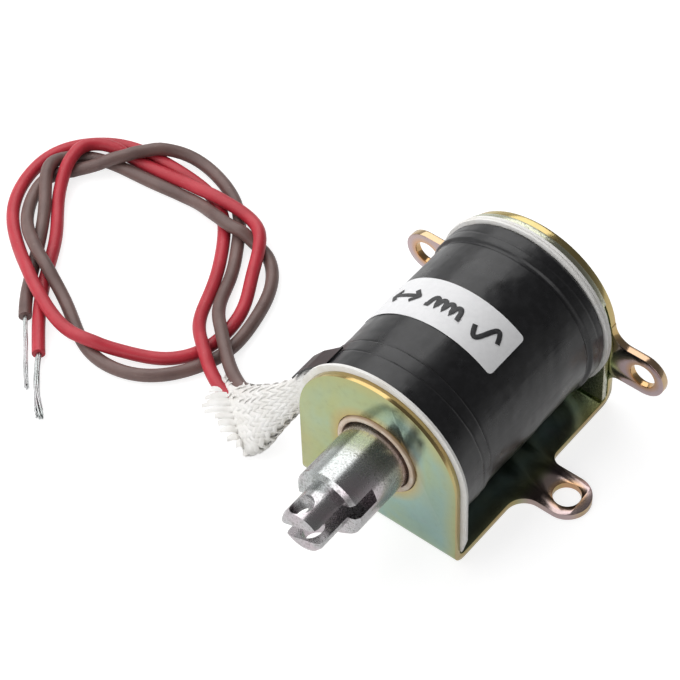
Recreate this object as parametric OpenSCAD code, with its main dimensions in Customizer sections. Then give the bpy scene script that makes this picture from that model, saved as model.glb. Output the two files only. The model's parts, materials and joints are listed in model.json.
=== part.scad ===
// Frame-type AC push pull solenoid: a bent steel frame, a taped coil and a forked plunger.
// Millimetres. X across the frame, Y along the plunger (positive = pull-in), Z up.
// Origin: centre of the underside of the frame's base.

/* [Frame] */
// Length of the frame over both flanges
body_length = 50; // [46:1:58]
// Width of the base and of both flanges
flange_width = 36; // [34:0.5:40]
// Height of the coil axis above the underside
axis_height = 20; // [19:0.5:22]
// Sheet thickness of the frame
sheet = 1.5; // [1.2:0.1:2]
// Inside radius of the two bends
bend_inside = 1.5; // [1:0.25:2]

/* [Fixing lugs] */
// Distance between the two lug holes of a pair
lug_pitch = 50.8; // [48:0.4:56]
// Diameter of a lug hole
lug_hole = 5.5; // [4.5:0.1:6]
// Radius of a lug's round end
lug_end_r = 4.8; // [4.4:0.1:5.2]
// Height of the rear lugs above the underside
rear_lug_z = 13.5; // [11:0.5:15]
// Fillet on the long side of a lug
fillet_large = 4; // [3:0.25:4.5]
// Fillet on the short side of a lug
fillet_small = 2.3; // [1.5:0.1:3]

/* [Plunger] */
// Diameter of the plunger
plunger_d = 14.6; // [13.5:0.1:15]
// How far the plunger's shoulder stands in front of the frame at rest
shoulder_out = 14.5; // [12.5:0.5:18]
// Diameter of the tongue
tongue_d = 9.4; // [8.5:0.1:10.5]
// Length of the tongue in front of the shoulder
tongue_len = 7.8; // [7:0.1:10]
// Width of the fork's slot
slot_width = 3; // [2:0.1:3.6]
// How far the slot is cut past the shoulder
slot_past = 5.5; // [3:0.5:8]
// Turn of the slot about the plunger axis
slot_turn = 22; // [-45:1:45]
// Diameter of the fork's cross hole
cross_hole = 4.8; // [3:0.1:5]
// Distance from the tongue's tip to the cross hole
hole_from_tip = 2.9; // [2.8:0.1:4]
// Travel of the plunger
stroke = 10; // [5:0.5:12]

/* [Guide tube] */
// Radial gap between plunger and tube
tube_gap = 0.4; // [0.25:0.05:0.6]
// Wall of the guide tube
tube_wall = 1.1; // [0.8:0.1:1.4]
// How far the tube stands in front of the frame
tube_proud = 0.4; // [0.2:0.1:1]

/* [Coil] */
// Thickness of the wound-on adhesive tape
tape_t = 0.55; // [0.4:0.05:1]
// Extra thickness of the front band of tape
front_band_t = 0.3; // [0.2:0.05:0.5]
// Width of the front band
front_band_w = 7.8; // [5:0.2:10]
// Extra thickness of the rear band of tape
rear_band_t = 0.5; // [0.2:0.05:0.7]
// Width of the rear band
rear_band_w = 4.3; // [3:0.1:7]
// How far the end cards stand over the flanges' sides
card_over = 1.3; // [1:0.1:1.6]
// Thickness of one end card
card_t = 0.6; // [0.5:0.05:0.7]
// Thickness of the inner pole plate
pole_plate_t = 1.3; // [1:0.1:1.6]
// Width of the rating label
label_w = 10.7; // [8:0.1:14]
// Distance from the front of the frame to the label
label_from_front = 18; // [15:0.5:22]

/* [Leads] */
// Diameter of a lead over its insulation
lead_d = 2.7; // [2:0.1:2.8]
// Diameter of the red lead's stripped conductor
red_wire_d = 1.2; // [0.8:0.1:1.6]
// Diameter of the brown lead's stripped conductor
brown_wire_d = 1; // [0.8:0.1:1.4]
// Wall of the woven lead sleeve
sleeve_wall = 0.35; // [0.2:0.05:0.4]

/* [Hidden] */
$fn = 96;
fit_gap = 0.05;
seat_gap = 0.3;
flange_r = flange_width / 2;
front_y = -body_length / 2;
rear_y = body_length / 2;
bend_outside = bend_inside + sheet;
lug_reach = lug_pitch / 2;
plunger_r = plunger_d / 2;
tongue_r = tongue_d / 2;
shoulder_chamfer = 0.8;
tip_round = 1.1;
plunger_drop = tube_gap / 2;
plunger_z = axis_height - plunger_drop;
tube_r = plunger_r + tube_gap;
tube_out_r = tube_r + tube_wall;
core_r = tube_r - 0.2;
spigot_r = 5;
stake_r = 5.8;
stake_depth = 0.8;
ring_in_r = 4.2;
ring_out_r = 5.6;
ring_depth = 1.6;
pole_front_y = rear_y - sheet - 0.4 - pole_plate_t;
pole_step = 0.8;
pole_step_z = axis_height + 8.5;
front_card_y = front_y + sheet + fit_gap;
coil_front_y = front_card_y + card_t + fit_gap;
inner_card_y = pole_front_y - 2 * (card_t + 0.08);
outer_card_y = pole_front_y - card_t - 0.06;
coil_rear_y = inner_card_y - fit_gap;
coil_len = coil_rear_y - coil_front_y;
coil_mid_y = (coil_front_y + coil_rear_y) / 2;
core_front_y = 8.3;
plunger_rear_y = core_front_y - seat_gap - stroke;
shoulder_y = front_y - shoulder_out;
tip_y = shoulder_y - tongue_len;
hole_y = tip_y + hole_from_tip;
tape_r = min(flange_r + 0.2, axis_height - sheet - seat_gap);
wrap_r = tape_r - tape_t - fit_gap;
wrap_t = 0.35;
wire_r = wrap_r - wrap_t - fit_gap;
base_clear_z = sheet + 0.2;
card_r = flange_r + card_over;
label_t = 0.12;
label_low_angle = 41;
label_sweep = 107;
lead_r = lead_d / 2;

// The lead sleeve: upper edge, lower edge and half thickness at each station.
// Points are [x from the flange's side, y from the frame's front, z in axis heights].
sleeve_upper = [[-0.8, 4.1, 1.34], [-6, 4.3, 0.95], [-13, 5.5, 0.56], [-19, 7, 0.26], [-24.5, 9.4, 0.12]];
sleeve_lower = [[-0.8, 4.1, 0.82], [-3, 2.5, 0.65], [-6, 0.5, 0.375], [-8, -2, 0.15], [-10, -3.5, 0.06]];
sleeve_half = [1.6, 1.8, 2, 2, 1.7];
sleeve_sides = 16;

// Where each lead lies inside the sleeve, as parts of its half width.
red_lane = [-0.5, -0.48, -0.13, 0, 0.12];
brown_lane = [0.5, 0.5, 0.52, 0.62, 0.74];

// Routes over the bench, [x from the flange's side, y from the frame's front, height].
// Height 1.5 lies on the bench, and about 5 crosses over another lead.
red_route = [
  [-26, 5.5, 2], [-32.5, 10, 5.5], [-38.5, 15.5, 2], [-42, 23.5, 1.5], [-46, 31, 1.5], [-51, 38, 1.5],
  [-56, 42, 1.5], [-65, 44, 1.5], [-74.5, 44, 1.5], [-81, 43, 1.5], [-86.5, 39.5, 1.5], [-91.5, 33, 1.5],
  [-91.5, 23.5, 1.5], [-87.5, 15, 1.5], [-80.5, 9, 1.5], [-74, 4.5, 5], [-66.5, 0.5, 4.5], [-59.5, -2, 2.5],
  [-52, -2.5, 5.5], [-45, 1, 2], [-38, 4.5, 1.5], [-33.5, 11, 1.5], [-33, 15.5, 1.5], [-34, 24, 1.5],
  [-38, 31, 2], [-42, 39, 5.5], [-49.5, 41.5, 4.5], [-56, 41.5, 4.5], [-66.5, 41.5, 3], [-76, 41, 2],
  [-81.5, 40, 3.5], [-86.5, 37.5, 4.5], [-86, 32, 5.5], [-83, 24, 2], [-76.5, 16, 1.5], [-71.5, 7.5, 1.5],
  [-67, 0.5, 1.5], [-63, -4.5, 1.5], [-58.5, -9.5, 1.5]
];
brown_route = [
  [-25, 9, 2], [-31.5, 14.5, 5.5], [-38, 21, 2.5], [-41.5, 29.5, 1.5], [-47, 37.5, 1.5], [-49.5, 41.5, 1.5],
  [-58.5, 47, 1.5], [-69, 48, 2.5], [-75.5, 42.5, 5.5], [-79, 37.5, 5.5], [-85, 31, 1.5], [-88.5, 27.5, 1.5],
  [-87, 21, 1.5], [-83.5, 15, 3], [-78.5, 11, 4.5], [-71, 7, 5], [-65, 4.5, 2], [-58.5, 1, 1.5],
  [-52.5, -2.5, 1.5], [-43.5, -3, 1.5], [-35.5, 1.5, 1.5], [-31, 9, 1.5], [-29.5, 13.5, 1.5], [-30.5, 23, 1.5],
  [-34, 32.5, 1.5], [-41, 38, 1.5], [-49, 37, 6], [-59, 39.5, 2], [-69.5, 38.5, 1.5], [-79.5, 37.5, 1.5],
  [-86.5, 35, 1.5], [-89, 28.5, 5], [-83, 20, 3], [-77.5, 11.5, 1.5], [-73, 4.5, 1.5], [-70.5, 0, 1.5],
  [-67, -4, 1.5]
];
red_wire_route = [[-58.5, -9.5, 1.5], [-55, -14, 1.1], [-52.5, -17, 0.8], [-50.5, -19, 0.8], [-48, -21, 0.8]];
brown_wire_route = [[-67, -4, 1.5], [-63.5, -7.5, 1], [-60.5, -10.5, 0.7], [-55, -17, 0.7]];

function unit(v) = v / norm(v);
function on_bench(p) = [p.x - flange_r, p.y + front_y, p.z];
function in_sleeve(p) = [p.x - flange_r, p.y + front_y, p.z * axis_height];
function tangent(path, i) = unit(path[min(i + 1, len(path) - 1)] - path[max(i - 1, 0)]);

upper_edge = [for (p = sleeve_upper) in_sleeve(p)];
lower_edge = [for (p = sleeve_lower) in_sleeve(p)];
sleeve_mid = (upper_edge + lower_edge) / 2;
sleeve_span = (upper_edge - lower_edge) / 2;

// A lead starts a little way down the sleeve, clear of the tape.
lane_start = 0.28;
function lane_point(lane, i) = sleeve_mid[i] + lane[i] * sleeve_span[i];
function lane_path(lane) = [
  lane_point(lane, 0) + lane_start * (lane_point(lane, 1) - lane_point(lane, 0)),
  for (i = [1:len(lane) - 1]) lane_point(lane, i)
];

// One closed ring of points round a path.
function tube_ring(path, i, r, sides) =
  let (t = tangent(path, i), s = unit(cross(t, [0, 0, 1])), u = cross(s, t))
  [for (k = [0:sides - 1]) path[i] + r * (cos(360 * k / sides) * s + sin(360 * k / sides) * u)];

// Triangles between ring a and ring b of a list of rings with n points each.
function band(a, b, n) = [
  for (k = [0:n - 1])
    let (j = (k + 1) % n)
    each [[a * n + k, b * n + k, b * n + j], [a * n + k, b * n + j, a * n + j]]
];

// The same faces on a second shell whose points start at shift, facing the other way.
function turned(faces, shift) = [for (f = faces) [f[2] + shift, f[1] + shift, f[0] + shift]];

// A round cord along a path.
module cord(path, d, sides = 8) {
  n = len(path);
  points = [for (i = [0:n - 1]) each tube_ring(path, i, d / 2, sides)];
  walls = [for (i = [0:n - 2]) each band(i, i + 1, sides)];
  first = [for (k = [0:sides - 1]) k];
  last = [for (k = [sides - 1:-1:0]) (n - 1) * sides + k];
  polyhedron(points = points, faces = concat(walls, [first, last]), convexity = 10);
}

// Flat oval section of the sleeve at station i, inset by the wall w.
function oval(i, w) =
  let (a = sleeve_span[i], n = unit(cross(tangent(sleeve_mid, i), a)))
  [for (k = [0:sleeve_sides - 1])
    let (c = cos(360 * k / sleeve_sides), s = sin(360 * k / sleeve_sides))
    sleeve_mid[i] + a * (1 - w / norm(a)) * sign(c) * sqrt(abs(c)) + n * (sleeve_half[i] - w) * sign(s) * sqrt(abs(s))];

// Turns a shape drawn about Z to lie along Y, on the coil axis, starting at y.
module along_y(y, z = axis_height) {
  translate([0, y, z])
    rotate([-90, 0, 0])
      children();
}

// A round tube or disc along Y.
module ring_y(y, len, r_out, r_in = 0, z = axis_height) {
  along_y(y, z)
    difference() {
      cylinder(h = len, r = r_out);
      if (r_in > 0)
        translate([0, 0, -1])
          cylinder(h = len + 2, r = r_in);
    }
}

// The concave corner between a lug and the edge it grows from, at the origin, into +x +y.
module fillet(r) {
  difference() {
    translate([-0.5, -0.5])
      square(r + 0.5);
    translate([r, r])
      circle(r);
  }
}

// Lug outline: grows along +x from the edge at x = 0 to a round end.
module lug(reach, r_low, r_high) {
  translate([-1, -lug_end_r])
    square([reach + 1, 2 * lug_end_r]);
  translate([reach, 0])
    circle(lug_end_r);
  translate([0, lug_end_r])
    fillet(r_high);
  translate([0, -lug_end_r])
    mirror([0, 1])
      fillet(r_low);
}

// Front view of the flanges: an arch about the coil axis on straight sides.
module arch(r, low = 0) {
  translate([0, axis_height])
    circle(r);
  translate([-r, low])
    square([2 * r, axis_height - low]);
}

// Side view of the bent strip.
module strip_profile() {
  tall = axis_height + flange_r;
  difference() {
    translate([front_y, 0])
      square([body_length, tall]);
    translate([front_y + sheet, bend_outside])
      square([body_length - 2 * sheet, tall]);
    translate([front_y + bend_outside, sheet])
      square([body_length - 2 * bend_outside, tall]);
    for (side = [-1, 1])
      translate([side * (body_length / 2 - bend_outside), bend_outside])
        circle(bend_inside);
    for (side = [-1, 1])
      difference() {
        translate([side * (body_length / 2 - bend_outside / 2), bend_outside / 2])
          square([bend_outside, bend_outside], center = true);
        translate([side * (body_length / 2 - bend_outside), bend_outside])
          circle(bend_outside);
      }
  }
}

module frame() {
  color([0.76, 0.78, 0.58])
    difference() {
      union() {
        intersection() {
          rotate([90, 0, 90])
            translate([0, 0, -flange_r])
              linear_extrude(flange_width)
                strip_profile();
          translate([0, rear_y + 1, 0])
            rotate([90, 0, 0])
              linear_extrude(body_length + 2)
                arch(flange_r);
        }
        for (side = [0, 1])
          mirror([side, 0, 0]) {
            translate([flange_r, 0, 0])
              linear_extrude(sheet)
                lug(lug_reach - flange_r, fillet_large, fillet_small);
            translate([flange_r, rear_y, rear_lug_z])
              rotate([90, 0, 0])
                linear_extrude(sheet)
                  lug(lug_reach - flange_r, fillet_small, fillet_large);
          }
      }
      along_y(front_y - 1)
        cylinder(h = sheet + 2, r = tube_out_r + 0.15);
      along_y(rear_y - sheet - 1)
        cylinder(h = sheet + 2, r = spigot_r + fit_gap);
      along_y(rear_y - stake_depth)
        cylinder(h = stake_depth, r1 = spigot_r + fit_gap, r2 = stake_r + fit_gap);
      for (side = [-1, 1]) {
        translate([side * lug_reach, 0, -1])
          cylinder(h = sheet + 2, d = lug_hole);
        along_y(rear_y - sheet - 1, rear_lug_z)
          translate([side * lug_reach, 0, 0])
            cylinder(h = sheet + 2, d = lug_hole);
      }
    }
}

module pole_plate() {
  color([0.72, 0.74, 0.68])
    translate([0, pole_front_y + pole_plate_t, 0])
      rotate([90, 0, 0])
        linear_extrude(pole_plate_t)
          difference() {
            union() {
              arch(flange_r, sheet + 0.7);
              intersection() {
                translate([0, axis_height])
                  circle(flange_r + pole_step);
                translate([-flange_width, pole_step_z])
                  square([2 * flange_width, flange_width]);
              }
            }
            translate([0, axis_height])
              circle(spigot_r + fit_gap);
          }
}

module fixed_core() {
  spigot_len = rear_y - pole_front_y;
  color([0.70, 0.71, 0.70])
    difference() {
      union() {
        ring_y(core_front_y, pole_front_y - core_front_y, core_r);
        ring_y(pole_front_y, spigot_len, spigot_r);
        along_y(rear_y - stake_depth)
          cylinder(h = stake_depth, r1 = spigot_r, r2 = stake_r);
      }
      ring_y(core_front_y - 1, ring_depth + 1.1, ring_out_r + fit_gap, ring_in_r - fit_gap);
    }
}

module shading_ring() {
  color([0.80, 0.48, 0.28])
    ring_y(core_front_y + 0.1, ring_depth - 0.05, ring_out_r, ring_in_r);
}

module guide_tube() {
  color([0.86, 0.80, 0.70])
    ring_y(front_y - tube_proud, pole_front_y - fit_gap - front_y + tube_proud, tube_out_r, tube_r);
}

// End card: round like the coil and cut off at the foot. With sides it also has
// straight sides that taper in at the foot.
module end_card(y, foot_z, sides = false) {
  side_x = card_r;
  along_y(y, 0)
    linear_extrude(card_t)
      mirror([0, 1])
        difference() {
          union() {
            intersection() {
              translate([0, axis_height])
                circle(card_r);
              translate([-2 * card_r, foot_z])
                square([4 * card_r, 4 * card_r]);
            }
            if (sides)
              polygon([
                [-side_x, axis_height], [-side_x, foot_z + 4], [-flange_r - 0.3, foot_z],
                [flange_r + 0.3, foot_z], [side_x, foot_z + 4], [side_x, axis_height]
              ]);
          }
          translate([0, axis_height])
            circle(tube_out_r + 0.15);
        }
}

module front_card() {
  color([0.93, 0.92, 0.90])
    end_card(front_card_y, bend_outside + 0.05, sides = true);
}

module rear_card_inner() {
  color([0.93, 0.92, 0.90])
    end_card(inner_card_y, sheet + seat_gap);
}

module rear_card_outer() {
  color([0.88, 0.87, 0.84])
    end_card(outer_card_y, sheet + seat_gap);
}

module winding() {
  color([0.72, 0.42, 0.20])
    ring_y(coil_front_y, coil_len, wire_r, tube_out_r + fit_gap);
}

module winding_wrap() {
  color([0.90, 0.88, 0.80])
    ring_y(coil_front_y, coil_len, wrap_r, wrap_r - wrap_t);
}

module coil_tape() {
  color([0.06, 0.06, 0.07])
    ring_y(coil_front_y, coil_len, tape_r, tape_r - tape_t);
}

// A band of tape over the coil, pressed flat where it passes over the base.
module tape_band(y, width, t) {
  color([0.06, 0.06, 0.07])
    intersection() {
      ring_y(y, width, tape_r + fit_gap + t, tape_r + fit_gap);
      translate([-flange_width, y - 1, base_clear_z])
        cube([2 * flange_width, width + 2, 2 * flange_width]);
    }
}

module front_tape_band() {
  tape_band(coil_front_y, front_band_w, front_band_t);
}

module rear_tape_band() {
  tape_band(coil_rear_y - rear_band_w, rear_band_w, rear_band_t);
}

// Loose end of the front band, drawn down over the root of the lead sleeve.
module tape_tail() {
  tail_t = 0.35;
  tail_w = 5.2;
  start_r = tape_r + fit_gap + front_band_t + 0.1;
  a = start_r * [-cos(45), sin(45)];
  outer = [a, [-start_r + 1, 0.47 * start_r], [-start_r - 1.6, 0.285 * start_r], [-start_r - 2.7, 0.175 * start_r]];
  inner = [for (i = [len(outer) - 1:-1:0]) outer[i] + tail_t * [-0.75, 0.66]];
  color([0.08, 0.08, 0.09])
    translate([0, coil_front_y + 0.2 + tail_w, axis_height])
      rotate([90, 0, 0])
        linear_extrude(tail_w)
          polygon(concat(outer, inner));
}

module rating_label() {
  color([0.92, 0.92, 0.92])
    translate([0, front_y + label_from_front + label_w, axis_height])
      rotate([90, 0, 0])
        rotate([0, 0, 90 - label_low_angle])
          rotate_extrude(angle = label_sweep)
            translate([tape_r + fit_gap, 0])
              square([label_t, label_w]);
}

module lead_sleeve() {
  n = sleeve_sides;
  last = len(sleeve_half) - 1;
  outer = [for (i = [0:last]) each oval(i, 0)];
  inner = [for (i = [0:last]) each oval(i, sleeve_wall)];
  shift = len(outer);
  out_walls = [for (i = [0:last - 1]) each band(i, i + 1, n)];
  in_walls = turned(out_walls, shift);
  root = [for (k = [0:n - 1]) [k, (k + 1) % n, (k + 1) % n + shift, k + shift]];
  m = last * n;
  mouth = [for (k = [0:n - 1]) [m + k, m + k + shift, m + (k + 1) % n + shift, m + (k + 1) % n]];
  color([0.90, 0.89, 0.86])
    polyhedron(points = concat(outer, inner), faces = concat(out_walls, in_walls, root, mouth), convexity = 6);
}

red_path = concat(lane_path(red_lane), [for (p = red_route) on_bench(p)]);
brown_path = concat(lane_path(brown_lane), [for (p = brown_route) on_bench(p)]);

module red_lead() {
  color([0.78, 0.18, 0.22])
    cord(red_path, lead_d);
}

module brown_lead() {
  color([0.46, 0.37, 0.35])
    cord(brown_path, lead_d);
}

module red_lead_end() {
  color([0.80, 0.78, 0.74])
    cord([for (p = red_wire_route) on_bench(p)], red_wire_d);
}

module brown_lead_end() {
  color([0.72, 0.66, 0.58])
    cord([for (p = brown_wire_route) on_bench(p)], brown_wire_d);
}

// Plunger: turned body, turned tongue, a sawn fork slot and a drilled cross hole.
module plunger() {
  body_len = plunger_rear_y - shoulder_y;
  outline = [
    [0, 0], [tongue_r - tip_round, 0], [tongue_r - 0.3 * tip_round, 0.3 * tip_round], [tongue_r, tip_round],
    [tongue_r, tongue_len], [plunger_r - shoulder_chamfer, tongue_len],
    [plunger_r, tongue_len + shoulder_chamfer], [plunger_r, tongue_len + body_len - 0.5],
    [plunger_r - 0.5, tongue_len + body_len], [0, tongue_len + body_len]
  ];
  color([0.78, 0.77, 0.74])
    difference() {
      along_y(tip_y, plunger_z)
        rotate_extrude()
          polygon(outline);
      translate([0, tip_y, plunger_z])
        rotate([0, -slot_turn, 0]) {
          translate([-plunger_r - 1, -1, -slot_width / 2])
            cube([plunger_d + 2, tongue_len + slot_past + 1, slot_width]);
          translate([0, hole_from_tip, -plunger_d])
            cylinder(h = 2 * plunger_d, d = cross_hole);
        }
    }
}

frame();
pole_plate();
fixed_core();
shading_ring();
guide_tube();
front_card();
rear_card_inner();
rear_card_outer();
winding();
winding_wrap();
coil_tape();
front_tape_band();
rear_tape_band();
tape_tail();
rating_label();
lead_sleeve();
red_lead();
brown_lead();
red_lead_end();
brown_lead_end();
plunger();
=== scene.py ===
import bpy, bmesh, json, math, random
import numpy as np
from mathutils import Vector, Matrix, noise

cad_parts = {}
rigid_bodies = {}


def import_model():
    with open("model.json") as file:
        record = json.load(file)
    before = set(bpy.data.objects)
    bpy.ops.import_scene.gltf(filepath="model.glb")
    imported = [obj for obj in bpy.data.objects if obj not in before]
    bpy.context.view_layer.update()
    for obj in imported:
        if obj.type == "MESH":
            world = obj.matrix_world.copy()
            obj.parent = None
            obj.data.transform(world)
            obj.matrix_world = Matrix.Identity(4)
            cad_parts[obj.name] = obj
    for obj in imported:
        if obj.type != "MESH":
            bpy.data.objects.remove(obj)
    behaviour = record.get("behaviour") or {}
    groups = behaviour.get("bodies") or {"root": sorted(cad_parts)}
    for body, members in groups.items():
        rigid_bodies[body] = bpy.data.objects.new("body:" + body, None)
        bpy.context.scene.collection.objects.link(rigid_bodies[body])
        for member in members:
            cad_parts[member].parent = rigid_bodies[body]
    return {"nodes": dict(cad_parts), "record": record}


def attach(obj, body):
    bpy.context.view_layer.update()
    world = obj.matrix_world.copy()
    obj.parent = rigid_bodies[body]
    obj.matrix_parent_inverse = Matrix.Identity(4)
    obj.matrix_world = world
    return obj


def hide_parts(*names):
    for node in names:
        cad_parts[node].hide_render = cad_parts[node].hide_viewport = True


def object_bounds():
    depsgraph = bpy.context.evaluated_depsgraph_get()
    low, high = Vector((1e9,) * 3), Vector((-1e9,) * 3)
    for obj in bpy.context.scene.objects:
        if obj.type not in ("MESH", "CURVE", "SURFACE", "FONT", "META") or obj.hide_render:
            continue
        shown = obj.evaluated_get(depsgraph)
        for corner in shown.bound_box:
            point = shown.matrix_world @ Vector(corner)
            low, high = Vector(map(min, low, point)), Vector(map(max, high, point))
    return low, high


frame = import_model()
cadBox = [list(v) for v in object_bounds()]
scene = bpy.context.scene
scene.view_settings.view_transform = "Standard"

mm = 0.001
bodyHousing = "housing"
bodyPlunger = "plunger_body"
coilAxisZ = 20 * mm  # height of the coil's axis


cameraLook = {
    "azimuth": 39.99,
    "elevation": 50.39,
    "roll": -2.18,
    "distance": 581.2,
    "target": (-24.57, -4.77, 15.0),
    "lens": 162.27,
}


def makeCamera(look):
    a, e, roll = (math.radians(look[k]) for k in ("azimuth", "elevation", "roll"))
    back = Vector((math.sin(a) * math.cos(e), -math.cos(a) * math.cos(e), math.sin(e)))
    right = Vector((math.cos(a), math.sin(a), 0))
    up = back.cross(right)
    turnedRight = right * math.cos(roll) + up * math.sin(roll)
    turnedUp = up * math.cos(roll) - right * math.sin(roll)
    data = bpy.data.cameras.new("camera")
    data.lens = look["lens"]
    data.sensor_width = 36
    data.clip_start, data.clip_end = 0.05, 10
    camera = bpy.data.objects.new("camera", data)
    scene.collection.objects.link(camera)
    turn = Matrix((turnedRight, turnedUp, back)).transposed().to_4x4()
    camera.matrix_world = Matrix.Translation((Vector(look["target"]) + back * look["distance"]) * mm) @ turn
    scene.camera = camera


makeCamera(cameraLook)
print("camera set")


leads = {
    "diameter": 2.7,
    "rounds": 300,
    "side": -18.0,  # x of the flange's side
    "front": -25.0,  # y of the frame's front
    "red": [
        (-26, 5.5, 2), (-32.5, 10, 5.5), (-38.5, 15.5, 2), (-42, 23.5, 1.5), (-46, 31, 1.5), (-51, 38, 1.5),
        (-56, 42, 1.5), (-65, 44, 1.5), (-74.5, 44, 1.5), (-81, 43, 1.5), (-86.5, 39.5, 1.5), (-91.5, 33, 1.5),
        (-91.5, 23.5, 1.5), (-87.5, 15, 1.5), (-80.5, 9, 1.5), (-74, 4.5, 5), (-66.5, 0.5, 4.5), (-59.5, -2, 2.5),
        (-52, -2.5, 5.5), (-45, 1, 2), (-38, 4.5, 1.5), (-33.5, 11, 1.5), (-33, 15.5, 1.5), (-34, 24, 1.5),
        (-38, 31, 2), (-42, 39, 5.5), (-49.5, 41.5, 4.5), (-56, 41.5, 4.5), (-66.5, 41.5, 3), (-76, 41, 2),
        (-81.5, 40, 3.5), (-86.5, 37.5, 4.5), (-86, 32, 5.5), (-83, 24, 2), (-76.5, 16, 1.5), (-71.5, 7.5, 1.5),
        (-67, 0.5, 1.5), (-63, -4.5, 1.5), (-58.5, -9.5, 1.5),
    ],
    "brown": [
        (-25, 9, 2), (-31.5, 14.5, 5.5), (-38, 21, 2.5), (-41.5, 29.5, 1.5), (-47, 37.5, 1.5), (-49.5, 41.5, 1.5),
        (-58.5, 47, 1.5), (-69, 48, 2.5), (-75.5, 42.5, 5.5), (-79, 37.5, 5.5), (-85, 31, 1.5), (-88.5, 27.5, 1.5),
        (-87, 21, 1.5), (-83.5, 15, 3), (-78.5, 11, 4.5), (-71, 7, 5), (-65, 4.5, 2), (-58.5, 1, 1.5),
        (-52.5, -2.5, 1.5), (-43.5, -3, 1.5), (-35.5, 1.5, 1.5), (-31, 9, 1.5), (-29.5, 13.5, 1.5), (-30.5, 23, 1.5),
        (-34, 32.5, 1.5), (-41, 38, 1.5), (-49, 37, 6), (-59, 39.5, 2), (-69.5, 38.5, 1.5), (-79.5, 37.5, 1.5),
        (-86.5, 35, 1.5), (-89, 28.5, 5), (-83, 20, 3), (-77.5, 11.5, 1.5), (-73, 4.5, 1.5), (-70.5, 0, 1.5),
        (-67, -4, 1.5),
    ],
    "redStart": [(-2.3, 3.6, 17.4), (-3.8, 3.0, 14.6), (-9.0, 2.7, 9.1), (-13.5, 2.5, 4.1), (-18.1, 3.7, 1.9)],
    "brownStart": [(-2.3, 3.9, 21.9), (-5.2, 3.8, 17.5), (-11.3, 4.3, 10.3), (-16.9, 5.3, 4.8), (-22.6, 7.7, 2.2)],
}


def onBench(point):
    return Vector((point[0] + leads["side"], point[1] + leads["front"], point[2])) * mm


def smoothRoute(points, steps=6):
    points = [Vector(p) for p in points]
    found = []
    for i in range(len(points) - 1):
        a, b, c, d = points[max(i - 1, 0)], points[i], points[i + 1], points[min(i + 2, len(points) - 1)]
        for j in range(steps):
            t = j / steps
            found.append(0.5 * (2 * b + (c - a) * t + (2 * a - 5 * b + 4 * c - d) * t * t + (3 * b - a - 3 * c + d) * t ** 3))
    found.append(points[-1])
    return found


def fromCurve(data):  # the mesh that a curve draws
    holder = bpy.data.objects.new("holder", data)
    bm = bmesh.new()
    bm.from_mesh(holder.to_mesh())
    holder.to_mesh_clear()
    bpy.data.objects.remove(holder)
    bpy.data.curves.remove(data)
    return bm


def cordTube(name, route, diameter, sides):
    data = bpy.data.curves.new(name, "CURVE")
    data.dimensions = "3D"
    data.bevel_depth = diameter / 2
    data.bevel_resolution = sides
    data.use_fill_caps = True
    spline = data.splines.new("POLY")
    spline.points.add(len(route) - 1)
    for point, place in zip(spline.points, route):
        point.co = (*place, 1)
    mesh = bpy.data.meshes.new(name)
    bm = fromCurve(data)
    bmesh.ops.remove_doubles(bm, verts=bm.verts, dist=0.000001)
    bmesh.ops.recalc_face_normals(bm, faces=bm.faces)
    bm.to_mesh(mesh)
    bm.free()
    mesh.shade_smooth()
    mesh.set_sharp_from_angle(angle=math.radians(50))
    piece = bpy.data.objects.new(name, mesh)
    scene.collection.objects.link(piece)
    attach(piece, bodyHousing)
    return piece


def routeLength(route):
    return sum((b - a).length for a, b in zip(route, route[1:]))


def evenRoute(route, step):
    route = np.array([tuple(p) for p in route])
    run = np.concatenate([[0], np.cumsum(np.linalg.norm(np.diff(route, axis=0), axis=1))])
    places = np.linspace(0, run[-1], int(run[-1] / step) + 1)
    return np.stack([np.interp(places, run, route[:, k]) for k in range(3)], axis=1)


def easeRoute(route, rounds):  # takes the small bends out and keeps the size
    for _ in range(rounds):
        for pull in (0.5, -0.507):
            middle = (route[:-2, :2] + route[2:, :2]) / 2
            route[1:-1, :2] += pull * (middle - route[1:-1, :2])
    return route


def settle(routes, diameter, rounds, hold):  # leads that cross lie on top of each other
    counts = [len(r) for r in routes]
    aim = np.concatenate(routes)
    height = aim[:, 2].copy()
    owner = np.repeat(np.arange(len(routes)), counts)
    order = np.arange(len(aim))
    ends = np.cumsum([0] + counts)
    fixed = np.zeros(len(aim), bool)
    for a, b in zip(ends, ends[1:]):
        fixed[a:a + hold] = True
        fixed[b - 2:b] = True
    index = np.where(~fixed)[0]
    flat = np.linalg.norm(aim[:, None, :2] - aim[None, :, :2], axis=2)
    apart = (owner[:, None] != owner[None, :]) | (abs(order[:, None] - order[None, :]) > 8)
    need = np.sqrt(np.clip((diameter * 1.01) ** 2 - flat ** 2, 0, None)) * apart
    above = aim[:, None, 2] - aim[None, :, 2]
    above = np.where(abs(above) < 0.3 * mm, np.sign(owner[:, None] - owner[None, :] + 0.001 * (order[:, None] - order[None, :])), np.sign(above))
    for _ in range(rounds):
        for _ in range(3):
            height[index] += 0.5 * ((height[index - 1] + height[index + 1]) / 2 - height[index])
        height[index] -= 0.02 * mm
        lack = np.clip(need - above * (height[:, None] - height[None, :]), 0, None) * (need > 0)
        push = (above * lack)
        strongest = np.take_along_axis(push, abs(push).argmax(axis=1)[:, None], axis=1)[:, 0]
        height[index] += 0.5 * strongest[index]
        height[index] = np.maximum(height[index], diameter / 2)
    aim[:, 2] = height
    return [[Vector(p) for p in aim[a:b]] for a, b in zip(ends, ends[1:])]


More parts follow.
